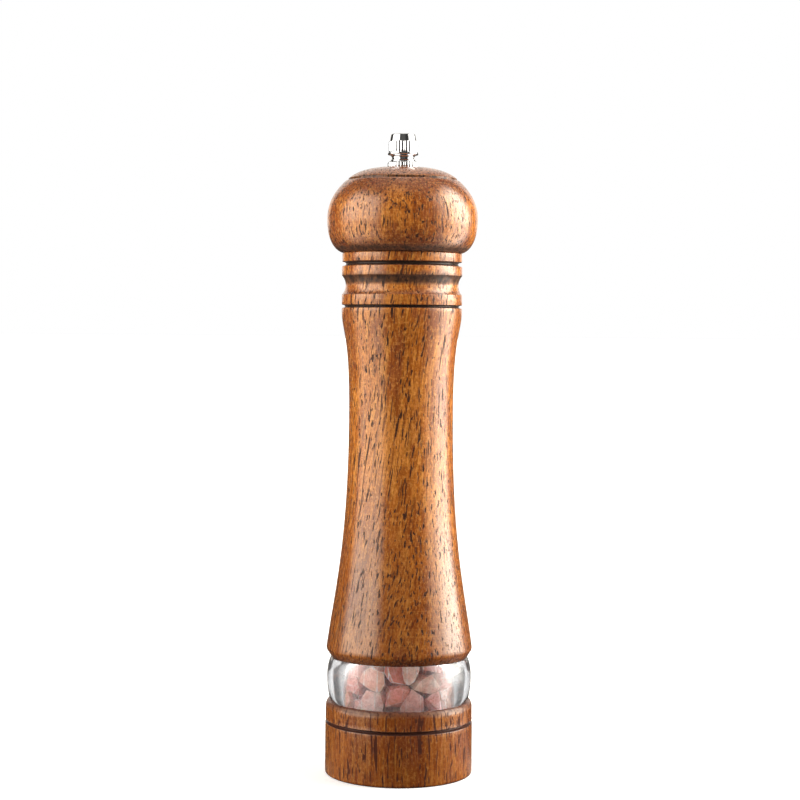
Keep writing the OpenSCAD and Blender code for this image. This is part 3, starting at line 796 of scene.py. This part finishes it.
# bearing from, bearing to, softness, strength
LEFT_BOX, RIGHT_BOX, RIGHT_CORE = (-102, -38, 11, 4.3), (58, 122, 12, 3.6), (80, 119, 9, 7.0)
FRONT_FILL = (-22, 22, 10, 0.07)
FLAG, SHADE = (131, 157, 6, 1.0), (112, 131, 4, 0.52)
WARM = (1, 0.955, 0.88, 1)


def boxes(tree, x, y):
    """The two soft boxes, the right one hotter in its core, from a direction on the floor."""
    turn = math_node(tree, "ARCTAN2", x, math_node(tree, "MULTIPLY", y, -1.0))
    turn = math_node(tree, "MULTIPLY", turn, 180 / math.pi)
    level = math_node(tree, "ADD", soft_box(tree, turn, *LEFT_BOX),
                      soft_box(tree, turn, *RIGHT_BOX))
    return math_node(tree, "ADD", level, soft_box(tree, turn, *RIGHT_CORE)), turn


def behind(tree, turn, sides):
    """The studio as it shows through the acrylic: white, with a dark flag to each side of the wall."""
    around = math_node(tree, "ABSOLUTE", turn)
    flag = soft_box(tree, around, *FLAG)
    front = ramp(tree, around, 60, 105, 0.45, 0.0)
    shade = soft_box(tree, around, *SHADE)
    level = math_node(tree, "SUBTRACT", math_node(tree, "SUBTRACT", 1.15, flag), front)
    level = math_node(tree, "SUBTRACT", level, shade)
    spill = math_node(tree, "MULTIPLY", sides, ramp(tree, around, 96, 110, 0.40, 0.0))
    return math_node(tree, "MAXIMUM", math_node(tree, "ADD", level, spill), 0.05)


def shown(tree, straight, through, light):
    """The first where the camera looks straight, the second through the acrylic, else the third."""
    seen = add(tree, "ShaderNodeLightPath", out=None)
    first = add(tree, "ShaderNodeMixShader", {}, {0: seen.outputs["Is Transmission Ray"], 1: light,
                                                  2: through})
    return add(tree, "ShaderNodeMixShader", {}, {0: seen.outputs["Is Camera Ray"], 1: first, 2: straight})


def floor():
    """A pale table, lit like the studio: bright at the sides, dim in front."""
    m, tree, shader = material("floor")
    grain = noise_node(tree, place(tree, (220, 220, 220)), 1.0, 2.0)
    tone = mix(tree, ramp(tree, grain, 0.3, 0.7), (0.88, 0.88, 0.885), (0.90, 0.90, 0.90))
    tree.links.new(tone, shader.inputs["Base Color"])
    shader.inputs["Roughness"].default_value = 0.8
    shader.inputs["Specular IOR Level"].default_value = 0.1
    shader.inputs["Emission Color"].default_value = (1, 1, 1, 1)
    shader.inputs["Emission Strength"].default_value = 0.42
    co = add(tree, "ShaderNodeTexCoord", out=3)
    split = add(tree, "ShaderNodeSeparateXYZ", {}, {0: co}, out=None)
    away = add(tree, "ShaderNodeVectorMath", {"operation": "LENGTH"}, {0: co}, out=1)
    sides, turn = boxes(tree, split.outputs[0], split.outputs[1])
    level = math_node(tree, "MULTIPLY", sides, ramp(tree, away, 0.10, 0.45, 0.03, 0.50))
    level = math_node(tree, "ADD", level, 0.05)
    bounce = add(tree, "ShaderNodeEmission", {}, {"Color": WARM, "Strength": level})
    through = add(tree, "ShaderNodeEmission", {}, {"Strength": behind(tree, turn, sides)})
    both = shown(tree, shader.outputs[0], through, bounce)
    out = next(n for n in tree.nodes if n.bl_idname == "ShaderNodeOutputMaterial")
    tree.links.new(both, out.inputs[0])
    size = 30.0
    mesh = bpy.data.meshes.new("floor")
    mesh.from_pydata([(-size, -size, 0), (size, -size, 0), (size, size, 0), (-size, size, 0)], [],
                     [(0, 1, 2, 3)])
    mesh.materials.append(m)
    obj = bpy.data.objects.new("floor", mesh)
    bpy.context.scene.collection.objects.link(obj)


floor()


def studio():
    """A white studio: soft boxes at both sides, a white wall behind, and a dim front."""
    world = bpy.data.worlds.new("studio")
    bpy.context.scene.world = world
    world.use_nodes = True
    tree = world.node_tree
    tree.nodes.clear()
    co = add(tree, "ShaderNodeTexCoord", out=0)
    split = add(tree, "ShaderNodeSeparateXYZ", {}, {0: co}, out=None)
    rise = math_node(tree, "ARCSINE", split.outputs[2])
    rise = math_node(tree, "MULTIPLY", rise, 180 / math.pi)
    sides, turn = boxes(tree, split.outputs[0], split.outputs[1])
    level = math_node(tree, "MULTIPLY", sides, ramp(tree, rise, 34, 58, 1.0, 0.0))
    around = math_node(tree, "ABSOLUTE", turn)
    wall = math_node(tree, "MULTIPLY", ramp(tree, around, 146, 154), 1.1)
    top = math_node(tree, "MULTIPLY", ramp(tree, rise, 50, 74), 0.55)
    front = soft_box(tree, turn, *FRONT_FILL)
    for part in (wall, top, front, 0.04):
        level = math_node(tree, "ADD", level, part)
    plain = add(tree, "ShaderNodeBackground", {}, {"Color": (1, 1, 1, 1), "Strength": 1.0})
    light = add(tree, "ShaderNodeBackground", {}, {"Color": WARM, "Strength": level})
    through = add(tree, "ShaderNodeBackground", {}, {"Color": (1, 1, 1, 1),
                                                     "Strength": behind(tree, turn, sides)})
    add(tree, "ShaderNodeOutputWorld", {}, {0: shown(tree, plain, through, light)}, out=None)


studio()


EYE, AIM, LENS, ROLL = (0.0, -0.770, 0.1790), (-0.00045, 0.0, 0.1498), 86.67, 0.45


def camera():
    eye, aim = Vector(EYE), Vector(AIM)
    cam = bpy.data.cameras.new("camera")
    cam.lens = LENS
    cam.sensor_width = 36.0
    cam.clip_start = 0.01
    obj = bpy.data.objects.new("camera", cam)
    turn = (aim - eye).to_track_quat("-Z", "Y").to_matrix().to_4x4()
    roll = Matrix.Rotation(math.radians(ROLL), 4, "Z")
    obj.matrix_world = Matrix.Translation(eye) @ turn @ roll
    bpy.context.scene.collection.objects.link(obj)
    bpy.context.scene.camera = obj


camera()
bpy.context.scene.view_settings.view_transform = "Standard"
